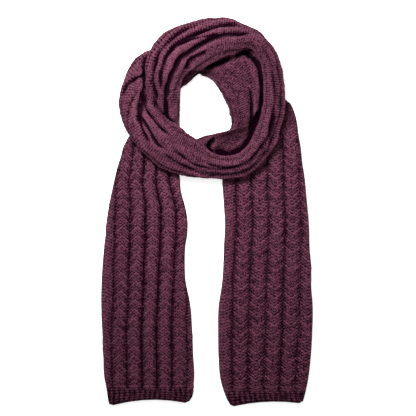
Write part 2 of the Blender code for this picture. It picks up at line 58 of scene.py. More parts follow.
CABLE_REPEAT = 17.5         # length of one V of the wheat-ear cable
CABLE_POINT = 8.5           # how far the point of a V lies ahead of its arms' ends
CABLE_RELIEF = 1.7          # height of a V over the hollow between two
RIB_DEPTH = 4.4             # groove to crown of a cable column on a flat tail
LOOP_RIB_DEPTH = 5.2        # the same where the panel is gathered into the loop
BORDER_RIB_DEPTH = 1.8      # the same on the rib borders
BORDER_PITCH = 9.7          # from one rib of a border to the next
CROWN_SHARE = 0.4           # part of a rib's depth that stands over the mean surface
RIB_POWER = 0.75            # 1 gives round ribs, less gives flat ones with narrow grooves

TAIL_ROW = CABLE_REPEAT / 2  # from one section to the next along a tail
LOOP_ROW = 14.5             # the same along the loop
BORDER_ROW = 8.0            # the same along a rib border

POINTS_PER_RIB = 4
LOOP_POINTS_PER_RIB = 5
LOOP_RIBS = 9               # ribs' worth of points round a section of the loop, the underside included
LEFT_RIBS = (-3.75, 2.5)    # first and last rib on top of a tail, counted from its table's groove
RIGHT_RIBS = (-1.75, 3.75)
BORDER_RIBS = (-9.0, 9.0)   # the same on a rib border, counted from its middle
LEFT_CABLES = (-3, 2, 1)    # first and last groove of the cable columns, 1 for Vs that point up, -1 for down
RIGHT_CABLES = (-1, 4, -1)
NO_CABLES = (0, 0, 0)
UNDER_POINTS = 6            # points across the underside of a tail
LEAST_UNDER_RIBS = 1.5      # ribs of a loop's section always kept for its underside
TURN_POINTS = 16            # points of a plain outline round one of its edges
FLAT_POINTS = 24            # the same along its flat middle
LEAST_STEP = 1e-6           # points of a plain outline nearer than this are one point
CROWD = 1.5                 # least distance between points where a tail's edge rolls under
EVEN_POINTS = (-1, 0, 1)    # neighbours across and along over which a lifted underside is evened out
EVEN_ROWS = 2

EDGE_HEIGHT = 0.42          # height of a section's widest point, as a share of its thickness
UNDER_ROUND = 0.45          # rounding of the underside's edges, as a share of the top side's
FLAT_SOFT = 0.6             # width over which a tail's edges round off, as a share of its thickness
CROWN_REACH = 0.7           # place across where the crown line has its given outer and inner heights
ROUND_FADE = (0.12, 0.45)   # shares of height between which ribs rise out of a bundle's plain underside
FLAT_FADE = (0.45, 0.9)     # the same on a flat stretch
TOP_FADE = (0.6, 0.95)      # the same between which the even ribs of a bundle's sides give way to its folds
TOP_RIB_SHARE = 0.2         # how much of the even ribs is left on top of a bundle
FOLD_FADE = 0.15            # share of a fold's length over which it comes up at each end
LEAST_SHARE = 0.35          # share of a stretch's thickness left in its deepest folds
FEELERS = ((0.0, 1), (4.5, 8), (9.0, 12), (13.0, 12))  # radius and number of places felt for a layer below
FEELER_HEIGHT = 500.0       # height from which they are felt

FINE_ROWS_PER_REPEAT = 12   # sections of a skin along one V of the cable
FINE_ROW = CABLE_REPEAT / FINE_ROWS_PER_REPEAT
FINE_POINTS_PER_RIB = 18
ARM_SWEEP = 13.0            # how far the ends of a V's arms lie behind its point
ARM_CURVE = 1.1             # 1 gives straight arms, more gives arms that curve out
ARM_RELIEF = 0.8            # height of an arm over the crease before the next
STRAND_RELIEF = 0.5         # height of the two strands of an arm
ARM_DENT = 0.9              # depth of the line where a V's two arms meet
ARM_DENT_WIDTH = 0.14       # half width of that line, as a share of half a column
PIT_PLACE = 0.78            # place of the pits between the arms' ends, as a share of half a column
PIT_WIDTH = 0.16            # its half width, as such a share
PIT_POWER = 4               # more gives shorter pits
PIT_DEPTH = 0.6
ARM_FADE = (0.6, 1.0)       # places between which an arm sinks into the groove, as shares of half a column
LEFT_GROOVES = (4.5, 5.0, 7.5, 7.5, 6.0, 3.8)  # depths of a skin's grooves beside its cables, from the west
RIGHT_GROOVES = (4.4, 4.2, 3.8, 4.8, 3.0, 3.0)
GROOVE_POWER = 0.65         # like RIB_POWER, for those grooves
GROOVE_WIDTH = 0.1          # half width of a groove's painted dark bottom, as a share of half a column
PAINTED_GROOVE_SHADE = 0.06          # how much darker the painted shade makes that for each millimetre of depth
PAINTED_ARM_LIGHT = 0.13            # how much lighter the arms of a V are painted than the creases between them
ARM_EVEN = 0.6              # how much of that is lost at a V's point
PAINTED_STRAND_LIGHT = 0.1          # how much lighter an arm's strands are painted than the line between them
PAINTED_PIT_SHADE = 0.1              # how much darker a pit is painted
BAND_BLEND = 0.5            # ribs beyond the cables over which the edge bands take up the rows' sweep
BORDER_GROOVE = 2.6         # depth of a skin's grooves on a rib border
BORDER_BLEND = 6.0          # length over which the border's ribs give way to the cables
PAINTED_BORDER_LIGHT = 0.25         # how much lighter a border's ribs are painted than its grooves
BORDER_MEAN = 1.5           # more paints the whole border darker
END_FADE = 14.0             # length over which the Vs come up from a tail's ends
CORNER_START = 0.88         # place across from which a hem's corner rounds off
CORNER_ROUND = 5.0          # how far the corner is cut back
CORNER_LENGTH = 16.0
HEM_ROUND = 4.0             # length over which a border's end rounds off
HEM_LEAST = 0.25            # share of the thickness left at the very end
FOLD_SHARPNESS = 1.5        # below 2 a fold is narrower at its bottom
SOLID_SHARPNESS = 2.0       # the same for the folds of a solid
FOLD_GAIN = 2.1             # depth of a fold or crease on a skin, as a share of its depth in the tables
FOLD_SHADE = (1.5, 10.0)    # depths in a skin's fold between which painted shade darkens the wool
PAINTED_FOLD_SHADE = 1.0             # how much darker that painted shade is at its deepest
FOLD_WAVE = 0.3             # how much a skin's folds vary in depth
FOLD_WAVE_ROWS = 2.3        # rows of a table from one deep place to the next
FOLD_WAVE_WIDTH = 26.0      # the same across the stretch, as a length
CREASE_STEP = 4.0           # from one place to the next on a crease's smooth path
CREASE_FADE = 0.22          # like FOLD_FADE
PAINTED_HOLE_SHADE = 0.1          # painted shade: how much darker the wool is drawn in the hole of the loop
LUMP_CELLS = ((10, 10), (3, 3))  # sections and points across the bumps of the wool's unevenness
LUMP_HEIGHTS = (0.45, 0.4)
SHADE_CELLS = (12, 16)      # the same over which a point's surroundings are evened out, for its painted light and shade
SHADE_HEIGHT = 4.0          # height over its surroundings at which a point's painted light is nearly at its brightest
BLUR = 4.0                  # how strongly a cell's heights are evened out
SEED = 7
WALL_SHARE = 0.88           # size of a tube's inner wall as a share of its outer one
INNER_STEP = 6              # sections of the outer wall for each one of the inner wall
INNER_POINTS = 6            # points to either side whose lowest height the inner wall keeps below
INNER_FLOOR = 0.6           # how far below
INNER_RISE = 0.3            # least height of the inner wall over the underside

COLUMN_STITCHES = 6         # stitches across one cable column
ROW_STITCHES = 3            # rows of stitches along one V of the tails
LOOP_ROW_STITCHES = 4       # the same in the loop
STITCH_SLANT = 0.6          # how far a stitch's sides lie ahead of its middle, in rows
STITCH_LEGS = (0.65, 0.35)  # height of a stitch's two legs over its middle line, and of that line
STITCH_HEIGHT = 1.6
BUMP_STRENGTH = 0.8
FUZZ_NOISE = (900.0, 3.0)   # scale, in bumps to the metre or so, and detail
SPECK_NOISE = (400.0, 2.0)
FUZZ_SHARE = 0.6            # height of the fuzz as a share of a stitch's
# ends of the wool's colour ramp, between which its specks and its painted light and shade run
WOOL_DARK = (0.0055, 0.0002, 0.0034)
WOOL_LIGHT = (0.178, 0.055, 0.092)
PAINTED_LIGHT_SHARE = 0.9           # how much the skin's painted light and shade says in the wool's colour
STITCH_SHARE = 0.8          # the same of its stitches' heights, painted as shade between the stitches
SPECK_SHARE = 2.2           # the same of its specks
DARK_LEVEL = 1.62           # sum of the three at which the wool is at its darkest
LIGHT_LEVEL = 0.9           # how far over that it is at its lightest
WOOL_ROUGHNESS = 0.95
WOOL_SPECULAR = 0.02
SHEEN_WEIGHT = 0.03
SHEEN_ROUGHNESS = 0.35
SHEEN_TINT = (1.0, 0.45, 0.6)

SKY = 0.3
LIGHTS = (                  # name, place, aim and size in metres, spread in degrees, power in watts
    ("key", (-0.24, 0.72, 0.95), (0.02, 0.15, 0.0), 0.5, 75, 5.5),
    ("fill", (0.9, 0.4, 1.6), (0.0, 0.1, 0.0), 1.0, 90, 1.0),
)
FLOOR_Z = -0.0004
FLOOR_SIDE = 4.0
PAPER = 0.9                 # how white the floor is
PAPER_ROUGHNESS = 0.9
PAPER_GLOW = 0.7
WHITE = (1.0, 1.0, 1.0, 1.0)

PHOTO_SIDE = 416            # the picture's side in pixels
MM_PER_PIXEL = 1.9
ORIGIN_PIXEL = (207.0, 212.5)  # where the frame's origin lies in the picture
LENS = 800.0                # a long lens, in millimetres like its sensor
SENSOR = 36.0
CAMERA_REACH = 100.0

# Tails, from the border up to the loop.  west_x and east_x are the edges at the height y, groove_x is the
# groove between the second and third cable columns from the west or east edge, pitch is one column's width.
TAIL_COLUMNS = ("y", "west_x", "east_x", "thick", "groove_x", "pitch")
LEFT_TAIL = (
    (-334, -189, -24, 8.0, -93, 28.2),
    (-314, -193, -22, 8.5, -93, 28.4),
    (-272, -195, -24, 8.5, -93, 28.8),
    (-224, -197, -26, 8.5, -94, 28.8),
    (-173, -199, -30, 8.5, -92, 28.2),
    (-127, -198, -39, 8.5, -90, 28.4),
    (-95, -196, -40, 8.8, -89, 28.8),
    (-63, -193, -39, 9.2, -87, 29.0),
    (-37, -190, -35, 9.6, -86, 29.2),
    (-14, -188, -35, 10.0, -86, 29.2),
    (13, -184, -40, 10.5, -86, 28.4),
    (38, -179, -47, 11.0, -91, 27.0),
    (61, -174, -49, 11.5, -95, 25.8),
    (86, -168, -51, 12.0, -94, 24.0),
    (104, -162, -51, 12.5, -94, 23.0),
    (126, -156, -50, 13.0, -94, 22.0),
    (141, -146, -49, 12.0, -94, 20.5),
    (150, -140, -49, 11.5, -93, 19.5),
)
RIGHT_TAIL = (
    (-340, 34, 190, 8.0, 80, 29.5),
    (-320, 28, 194, 8.5, 80, 30.0),
    (-279, 24, 199, 8.5, 80, 31.0),
    (-232, 23, 202, 8.5, 81, 31.8),
    (-179, 24, 203, 8.5, 82, 32.0),
    (-139, 30, 200, 8.5, 83, 32.0),
    (-104, 33, 200, 8.8, 85, 31.6),
    (-66, 34, 197, 9.2, 87, 31.2),
    (-27, 36, 196, 9.5, 89, 30.8),
    (10, 34, 193, 9.8, 88, 30.6),
    (40, 32, 190, 10.0, 87, 30.4),
    (62, 31, 188, 10.0, 87, 30.4),
    (76, 32, 186, 10.0, 87, 30.4),
    (87, 65, 184, 10.0, 87, 30.0),
    (104, 87, 182, 10.0, 87, 30.0),
    (124, 109, 180, 10.0, 87, 30.0),
    (147, 128, 176, 9.5, 87, 29.5),
    (173, 141, 172, 9.5, 87, 28.5),
    (198, 148, 162, 9.0, 86, 27.5),
    (212, 151, 153, 8.5, 86, 27.0),
)

# Rib borders, from the end of the scarf up to the tail.  bow is how far the middle of a row lies up.
BORDER_COLUMNS = ("west_x", "west_y", "east_x", "east_y", "bow", "thick")
LEFT_BORDER = (
    (-184, -370, -31, -365, 10, 6.5),
    (-187, -350, -25, -348, 4, 7.5),
    (-189, -334, -24, -334, 0, 8.0),
)
RIGHT_BORDER = (
    (46, -371.5, 185, -365, 7, 6.5),
    (39, -354, 187, -352, 4, 7.5),
    (34, -340, 190, -340, 0, 8.0),
)

# Stretches of the loop.  Each row is a section from the loop's outer edge to its inner edge.  floor is the
# lowest height of the underside, top_* are the heights of the crown line near the outer edge, in the middle
# and near the inner edge, soft is the width over which each edge rounds off, pitch is a rib's width along
# the surface, and shift is the rib count at the crown, which turns the ribs round the bundle.
LOOP_COLUMNS = ("out_x", "out_y", "in_x", "in_y", "floor", "top_out", "top_mid", "top_in",
                "soft", "pitch", "shift")
LOOP_TOP = (
    (-131, 152, -51, 150, 0, 14, 14, 14, 10, 19, 0.6),
    (-114, 173, -51, 167, 0, 13, 13, 13, 12, 19, 0.6),
    (-105, 191, -50, 186, 0, 14, 15, 15, 14, 19, 0.5),
    (-104, 205, -50, 201, 1, 20, 23, 23, 18, 19, 0.4),
    (-107, 219, -49, 218, 3, 31, 36, 34, 24, 19, 0.0),
    (-111, 234, -48, 238, 6, 41, 46, 43, 28, 20, -0.3),
    (-114, 258, -44, 252, 8, 48, 54, 49, 30, 20, -0.7),
    (-113, 281, -36, 263, 8, 50, 57, 51, 32, 21, -0.8),
    (-106, 301, -32, 267, 8, 50, 58, 52, 34, 21, -0.85),
    (-91, 324, -26, 268, 8, 50, 59, 53, 36, 21, -0.7),
    (-71, 343, -19, 269, 8, 50, 60, 54, 38, 21, -0.5),
    (-46, 355, -10, 272, 8, 50, 60, 55, 38, 21, -0.25),
    (-15, 363, 2, 277, 8, 50, 59, 55, 38, 21, 0.1),
    (15, 367, 17, 285, 8, 49, 58, 54, 36, 21, 0.35),
    (44, 367, 38, 294, 8, 48, 57, 53, 32, 20, 0.4),
    (68, 358, 59, 302, 8, 47, 56, 52, 26, 19, 0.3),
    (87, 349, 75, 310, 8, 46, 55, 51, 20, 18, 0.15),
    (104, 339, 87, 308, 8, 45, 53, 49, 17, 18, 0.1),
    (118, 323, 95, 299, 8, 44, 51, 47, 17, 18, 0.0),
    (131, 305, 103, 289, 8, 43, 49, 45, 18, 18, 0.0),
    (140, 282, 107, 276, 8, 41, 47, 43, 18, 18, 0.0),
    (147, 251, 110, 252, 7, 39, 45, 41, 19, 18, 0.0),
    (150, 218, 111, 224, 6, 38, 44, 41, 19, 18, 0.0),
    (150, 192, 108, 196, 5, 38, 44, 41, 20, 18, 0.0),
    (142, 163, 101, 171, 5, 38, 44, 42, 20, 18, 0.1),
    (135, 137, 92, 148, 5, 38, 44, 42, 21, 18, 0.15),
    (119, 111, 82, 129, 5, 38, 44, 42, 21, 18, 0.25),
)
LOOP_FRONT = (
    (119, 111, 82, 129, 6, 38, 44, 42, 21, 18, 0.25),
    (103, 91, 71, 117, 7, 38, 44, 42, 20, 18, 0.25),
    (86, 76, 63, 111, 8, 38, 44, 41, 20, 18, 0.25),
    (61, 65, 49, 107, 8, 37, 43, 40, 20, 18, 0.1),
    (34, 64, 30, 105, 6, 36, 42, 38, 20, 18, 0.0),
    (10, 63.5, 12, 112, 5, 35, 41, 37, 22, 18, 0.0),
    (-13, 65, -5, 125, 5, 35, 41, 37, 25, 19, 0.0),
    (-38, 69, -19, 137, 6, 36, 42, 38, 25, 20, 0.0),
    (-63, 76, -34, 146, 8, 37, 44, 40, 24, 20, 0.05),
    (-87, 86, -48, 156, 9, 38, 46, 42, 24, 20, 0.1),
    (-108, 104, -63, 167, 9, 38, 46, 43, 24, 20, 0.15),
    (-127, 122, -76, 176, 8, 36, 45, 43, 24, 20, 0.15),
    (-145, 147, -86, 187, 6, 33, 42, 41, 24, 20, 0.1),
    (-156, 167, -95, 196, 4, 30, 38, 36, 24, 20, -0.1),
    (-162, 189, -103, 206, 2, 27, 34, 31, 26, 19, -0.3),
    (-164, 211, -107, 218, 0, 25, 31, 27, 24, 19, -0.3),
    (-162, 231, -110, 227, 0, 24, 28, 24, 23, 19, -0.3),
    (-156, 249, -108, 232, 0, 24, 27, 23, 23, 19, -0.3),
    (-148, 269, -101, 231, 0, 24, 27, 22, 25, 20, -0.3),
    (-137, 286, -92, 230, 0, 24, 26, 22, 27, 20, -0.3),
    (-122, 298, -84, 228, 0, 24, 26, 22, 29, 21, -0.3),
    (-105, 306, -76, 227, 0, 23, 26, 22, 30, 21, -0.3),
)
INNER_STRAND = (
    (-105, 306, -76, 227, 0, 23, 26, 22, 30, 21, -0.3),
    (-84, 323, -59, 231, 0, 22, 26, 22, 30, 21, -0.3),
    (-57, 336, -43, 239, 0, 22, 26, 22, 30, 21, -0.25),
    (-27, 345, -29, 249, 0, 22, 26, 22, 30, 21, -0.2),
    (6, 348, -14, 262, 0, 20, 23, 19, 30, 21, -0.1),
    (38, 346, -2, 259, 0, 19, 22, 19, 28, 21, 0.0),
    (68, 337, 9, 252, 0, 20, 25, 23, 27, 21, 0.1),
    (95, 321, 17, 243, 0, 20, 26, 25, 26, 21, 0.15),
    (116, 300, 28, 229, 0, 18, 25, 26, 24, 20, 0.2),
    (131, 276, 37, 214, 0, 16, 24, 27, 23, 20, 0.3),
    (141, 249, 44, 199, 0, 14, 22, 28, 22, 19, 0.35),
    (144, 224, 48, 182, 0, 12, 20, 28, 21, 19, 0.4),
    (142, 200, 49, 167, 0, 11, 19, 28, 20, 19, 0.45),
    (135, 175, 45, 156, 0, 10, 17, 27, 18, 19, 0.6),
    (124, 151, 29, 151, 0, 10, 14, 24, 16, 19, 0.9),
    (106, 128, 10, 147, 0, 9, 11, 20, 15, 19, 1.3),
    (86, 108, -5, 142, 0, 9, 9, 18, 13, 19, 1.6),
    (65, 93, -17, 136, 0, 9, 9, 16, 11, 19, 1.8),
    (50, 86, -22, 125, 0, 9, 9, 12, 10, 19, 1.8),
)
# Grooves and ridges on top of the loop.  from_row and to_row are places in the stretch's table, across_0 to
# across_4 say where the fold lies, from the outer edge (-1) to the inner edge (1), at five even places
# between them, and a ridge has a depth below zero.
FOLD_COLUMNS = ("from_row", "to_row", "across_0", "across_1", "across_2", "across_3", "across_4",
                "width", "depth")
TOP_FOLDS = (
    (3.0, 12.5, -0.60, -0.65, -0.64, -0.73, -0.90, 4.5, 3.2),
    (4.0, 15.5, -0.25, -0.20, -0.40, -0.57, -0.95, 4.5, 4.2),
    (8.5, 13.5, -0.22, -0.31, -0.30, -0.28, -0.28, 4.0, 3.0),
    (3.5, 17.0, 0.12, 0.42, 0.22, -0.15, -0.60, 5.5, 5.5),
    (-1.0, 5.5, 0.25, 0.12, 0.02, 0.06, 0.25, 4.5, 5.0),
    (7.5, 12.5, 0.92, 0.78, 0.60, 0.50, 0.40, 4.0, 4.5),
    (14.5, 20.5, -0.35, -0.59, -0.52, -0.46, -0.60, 8.0, -2.0),
    (17.5, 25.0, -0.08, -0.05, 0.02, -0.06, -0.15, 7.0, 2.2),
    (16.0, 29.0, -0.80, -0.76, -0.74, -0.74, -0.74, 4.5, 1.6),
    (23.0, 29.0, -0.30, -0.28, -0.22, -0.20, -0.20, 5.0, 3.2),
)
FRONT_FOLDS = (
    (-3.0, 6.0, -0.20, -0.20, -0.15, -0.03, 0.02, 5.0, 3.4),
    (-3.0, 4.0, -0.74, -0.74, -0.74, -0.76, -0.80, 4.5, 1.6),
    (3.0, 9.5, -0.82, -0.70, -0.50, -0.32, -0.15, 5.0, -2.5),
    (3.0, 9.5, -0.97, -0.88, -0.70, -0.54, -0.38, 4.5, 2.8),
    (8.5, 14.5, 0.48, 0.50, 0.53, 0.56, 0.62, 4.5, 5.0),
    (7.5, 17.0, -0.18, -0.16, -0.02, 0.48, 0.95, 5.0, 7.0),
    (7.8, 21.0, -0.62, -0.40, 0.04, 0.40, 0.45, 5.0, 6.0),
    (9.8, 21.0, -0.96, -0.72, -0.72, -0.30, 0.00, 5.0, 5.0),
)
INNER_FOLDS = (
    (8.5, 15.5, 0.32, 0.27, 0.20, 0.05, -0.20, 6.0, 5.5),
    (6.5, 15.5, -0.62, -0.42, -0.24, -0.10, -0.35, 6.5, 8.0),
    (14.0, 18.5, -0.35, -0.50, -0.30, 0.20, 0.50, 7.0, 4.5),
)
# The folds of the front's skin, two of them narrower and shallower than its solid's.
FRONT_SKIN_FOLDS = (
    (*FRONT_FOLDS[0][:-2], 4.0, 2.4),
    FRONT_FOLDS[1],
    (*FRONT_FOLDS[3][:-2], 4.0, 2.2),
)
# Creases on the skins alone, and the gaps where one stretch dips under another, dented and darkened with
# painted shade.  Each row is a path in picture pixels, x to the right and y down, with its half width and
# its depth.
TOP_CREASES = (
    (((145, 86), (151, 98), (157, 108), (168, 120), (182, 129)), 4.5, 4.5),
    (((165, 101), (166, 112), (167, 118), (170, 128)), 3.0, 5.0),
)
FRONT_CREASES = (
    (((165, 143), (180, 155), (195, 165), (215, 170), (240, 168)), 3.0, 2.2),
    (((141, 113), (144, 121), (152, 135), (158, 145), (168, 150)), 2.6, 4.5),
    (((150, 80), (143, 93), (139, 113), (140, 123), (151, 147)), 3.4, 4.0),
    (((150, 87), (144, 104), (140, 112), (139, 125)), 5.0, 6.0),
    (((152, 74), (137, 78), (128, 83), (121, 97), (118, 112)), 3.4, 4.0),
    (((147, 50), (144, 68), (145, 78), (148, 93), (152, 104)), 4.5, 5.0),
    (((146, 100), (149, 112), (155, 120), (162, 128), (172, 136)), 2.6, 3.5),
    (((141, 87), (130, 105), (127, 116), (129, 130), (146, 153)), 2.6, 1.8),
)
INNER_CREASES = (
    (((244, 51), (256, 61), (263, 92), (262, 106), (253, 132)), 4.5, 7.5),
    (((260, 110), (249, 140), (242, 150), (232, 154), (208, 150)), 6.0, 8.0),
    (((249, 86), (252, 102), (252, 111), (251, 125), (248, 134)), 3.0, 4.0),
    (((216, 138), (211, 143), (209, 148), (214, 154)), 3.4, 6.0),
    (((203, 70), (214, 65), (222, 62), (233, 57)), 4.0, 6.0),
    (((234, 57), (243, 52), (248, 53), (251, 59)), 4.0, 7.0),
)
TOP_START_ROWS = 5          # sections of the built loop_top that lie under the loop's front
FRONT_END_ROWS = 7          # sections of the built loop_front that lie under the loop's top

# The panel's ends: side, tables of the border and the tail, ribs, cable columns and depths of their grooves.
ENDS = (
    ("left", LEFT_BORDER, LEFT_TAIL, LEFT_RIBS, LEFT_CABLES, LEFT_GROOVES),
    ("right", RIGHT_BORDER, RIGHT_TAIL, RIGHT_RIBS, RIGHT_CABLES, RIGHT_GROOVES),
)


def smooth_step(value, low, high):
    """0 below low, 1 above high, with an even ease between them."""
    share = np.clip((value - low) / (high - low), 0.0, 1.0)
    return share * share * (3.0 - 2.0 * share)


def at_ends(share, fade):
    """1 along a fold, and less over a share of its length at each end, down to 0."""
    return smooth_step(share, 0.0, fade) * smooth_step(1.0 - share, 0.0, fade)


def columns(names, rows):
    """A table's columns by name."""
    return dict(zip(names, np.array(rows, dtype=float).T))


def tail_rows(rows):
    """A tail's table as sections of a loop stretch: outer is west and inner is east."""
    given = columns(TAIL_COLUMNS, rows)
    middle = (given["west_x"] + given["east_x"]) / 2
    soft = given["thick"] * FLAT_SOFT
    return np.column_stack((
        given["west_x"], given["y"], given["east_x"], given["y"], np.zeros(len(rows)),
        given["thick"], given["thick"], given["thick"],
        np.minimum(soft, (given["east_x"] - given["west_x"]) / 2), given["pitch"],
        (middle - given["groove_x"]) / given["pitch"], np.zeros(len(rows)), np.arange(len(rows))))


def border_rows(rows):
    """A border's table as sections of a loop stretch."""
    given = columns(BORDER_COLUMNS, rows)
    return np.column_stack((
        given["west_x"], given["west_y"], given["east_x"], given["east_y"], np.zeros(len(rows)),
        given["thick"], given["thick"], given["thick"], given["thick"] * FLAT_SOFT,
        np.full(len(rows), BORDER_PITCH), np.zeros(len(rows)), given["bow"], np.arange(len(rows))))


def loop_rows(rows):
    """A loop table with a bow of nothing, and each row's place in it."""
    given = columns(LOOP_COLUMNS, rows)
    return np.column_stack((*given.values(), np.zeros(len(rows)), np.arange(len(rows))))


def eased(rows, spacing):
    """Sections at an even spacing along a stretch, on smooth curves through its table's rows."""
    middle = (rows[:, 0:2] + rows[:, 2:4]) / 2
    along = np.concatenate(([0.0], np.cumsum(np.linalg.norm(np.diff(middle, axis=0), axis=1))))
    slope = np.gradient(rows, along, axis=0)
    count = max(2, round(along[-1] / spacing)) + 1
    place = np.linspace(0.0, along[-1], count)
    left = np.clip(np.searchsorted(along, place, side="right") - 1, 0, len(along) - 2)
    step = (along[left + 1] - along[left])[:, None]
    u = (place - along[left])[:, None] / step
    return (rows[left] * (1 + 2 * u) * (1 - u) ** 2 + slope[left] * step * u * (1 - u) ** 2
            + rows[left + 1] * u * u * (3 - 2 * u) + slope[left + 1] * step * u * u * (u - 1))


def crown(tops, across):
    """Height of the crown line at each place across, a parabola through the three given heights."""
    out, mid, inner = tops
    bend = (out + inner - 2 * mid) / 2
    tilt = (inner - out) / 2
    share = np.clip(across / CROWN_REACH, -1.0, 1.0)
    return mid + tilt * share + bend * share * share


def outline(half, soft, floor, tops):
    """A section's plain outline, clockwise from its outer edge: place, height, height's share and length."""
    turn = np.linspace(0.0, math.pi / 2, TURN_POINTS)
    flat = np.linspace(0.0, 1.0, FLAT_POINTS)[1:-1]
    width = min(soft, half)
    low_width = width * UNDER_ROUND
    top_edge = width * (1 - np.cos(turn))
    low_edge = low_width * (1 - np.cos(turn))
    top_x = np.concatenate((top_edge - half, width - half + flat * 2 * (half - width),
                            half - top_edge[::-1]))
    top_lift = np.concatenate((np.sin(turn), np.ones(len(flat)), np.sin(turn[::-1])))
    low_x = np.concatenate((half - low_edge, half - low_width - flat * 2 * (half - low_width),
                            low_edge[::-1] - half))
    low_lift = np.concatenate((1 - np.sin(turn), np.zeros(len(flat)), 1 - np.sin(turn[::-1])))
    x = np.concatenate((top_x, low_x[1:]))
    lift = np.concatenate((EDGE_HEIGHT + (1 - EDGE_HEIGHT) * top_lift, EDGE_HEIGHT * low_lift[1:]))
    across = x / half
    height = floor + lift * (crown(tops, across) - floor)
    steps = np.hypot(np.diff(x), np.diff(height))
    length = np.concatenate(([0.0], np.cumsum(steps)))
    apart = np.concatenate(([True], steps > LEAST_STEP))
    return x[apart], height[apart], lift[apart], length[apart], length[len(top_x) - 1]


def round_places(ribs, per_rib, pitch, shift, top_length, whole_length):
    """Ribs all round a bundle, evenly wide on top and the rest below: each point's rib, place and relief."""
    rib = np.arange(ribs * per_rib) / per_rib
    shown = min(top_length / pitch, ribs - LEAST_UNDER_RIBS)
    from_crown = (rib - shift + ribs / 2) % ribs - ribs / 2
    on_top = top_length * (0.5 + from_crown / shown)
    under_share = (from_crown % ribs - shown / 2) / (ribs - shown)
    under = top_length + under_share * (whole_length - top_length)
    return rib, np.where(np.abs(from_crown) <= shown / 2, on_top, under), 1.0


def flat_places(ribs, per_rib, pitch, shift, top_length, whole_length):
    """Ribs across the top of a flat stretch, then its underside: each point's rib, place and relief."""
    first, last = ribs
    count = round((last - first) * per_rib) + 1
    rib = np.linspace(first, last, count)
    crowd = min(CROWD * POINTS_PER_RIB / per_rib, top_length / (count + 1)) * (np.arange(count) + 0.5)
    even = top_length / 2 + (rib - shift) * pitch
    on_top = np.clip(even, crowd, top_length - crowd[::-1])
    on_top[[0, -1]] = (0.0, top_length)
    free = np.concatenate((np.abs(on_top - even) < CROWD, np.zeros(UNDER_POINTS)))
    under_share = (np.arange(UNDER_POINTS) + 0.5) / UNDER_POINTS
    under = top_length + under_share * (whole_length - top_length)
    return np.concatenate((rib, np.zeros(UNDER_POINTS))), np.concatenate((on_top, under)), free


def highest_below(lower, x, y):
    """The highest point of the lower stretches at and around a place, in millimetres."""
    best = 0.0
    for radius, number in FEELERS:
        for k in range(number):
            angle = 2 * math.pi * k / number
            start = Vector((x + radius * math.cos(angle), y + radius * math.sin(angle), FEELER_HEIGHT))
            for tree in lower:
                hit = tree.ray_cast(start, Vector((0, 0, -1)))[0]
                if hit is not None:
                    best = max(best, hit.z + LAYER_GAP)
    return best


def fold_depth(folds, section, sharpness):
    """How far the folds push in the points of a section."""
    depth = np.zeros(len(section.at_x))
    for row in folds:
        fold = dict(zip(FOLD_COLUMNS, row))
        share = (section.table_place - fold["from_row"]) / (fold["to_row"] - fold["from_row"])
        shown = at_ends(share, FOLD_FADE)
        knots = [fold[name] for name in FOLD_COLUMNS if name.startswith("across")]
        middle = section.half * np.interp(share, np.linspace(0.0, 1.0, len(knots)), knots)
        aside = np.abs((section.at_x - middle) / fold["width"])
        depth += fold["depth"] * shown * np.exp(-aside ** sharpness)
    return depth


def crease_depth(creases, points):
    """How far creases push in the points at some places, from the distance to each crease's path."""
    depth = np.zeros(len(points))
    number = np.arange(len(points))
    for path, width, deep in creases:
        step = np.diff(path, axis=0)
        from_start = points[:, None] - path[:-1]
        share = np.clip((from_start * step).sum(axis=2) / (step ** 2).sum(axis=1), 0.0, 1.0)
        distance = np.linalg.norm(from_start - share[:, :, None] * step, axis=2)
        nearest = distance.argmin(axis=1)
        along = (nearest + share[number, nearest]) / len(step)
        aside = distance[number, nearest] / width
        depth += deep * at_ends(along, CREASE_FADE) * np.exp(-aside ** FOLD_SHARPNESS)
    return depth


def evened(base):
    """Heights by section and point, never less than they were, without steps between neighbours."""
    for choose in (np.max, np.mean):
        near = [np.roll(base, turn, axis=1) for turn in EVEN_POINTS]
        padded = np.pad(choose(near, axis=0), ((EVEN_ROWS, EVEN_ROWS), (0, 0)), mode="edge")
        base = choose([padded[k:k + len(base)] for k in range(2 * EVEN_ROWS + 1)], axis=0)
    return base


def section_of(row, number, ribs, per_rib):
    """One section's points and what is known at each, from its row: LOOP_COLUMNS, bow and table place."""
    outer, inner, floor = row[0:2], row[2:4], row[4]
    tops, soft, pitch, shift, bow, table_place = row[5:8], *row[8:13]
    half = np.linalg.norm(inner - outer) / 2
    side = (inner - outer) / (2 * half)
    x, height, lift, length, top_length = outline(half, soft, floor, tops)
    places = flat_places if isinstance(ribs, tuple) else round_places
    rib, place, free = places(ribs, per_rib, pitch, shift, top_length, length[-1])
    at_x = np.interp(place, length, x)
    return SimpleNamespace(
        number=number, middle=(outer + inner) / 2, side=side, ahead=np.array((-side[1], side[0])),
        half=half, floor=floor, bow=bow, table_place=table_place, rib=rib, free=free, at_x=at_x,
        at_lift=np.interp(place, length, lift), crown=crown(tops, at_x / half),
        lean_x=-np.interp(place, length, np.gradient(height, length)),
        lean_z=np.interp(place, length, np.gradient(x, length)))


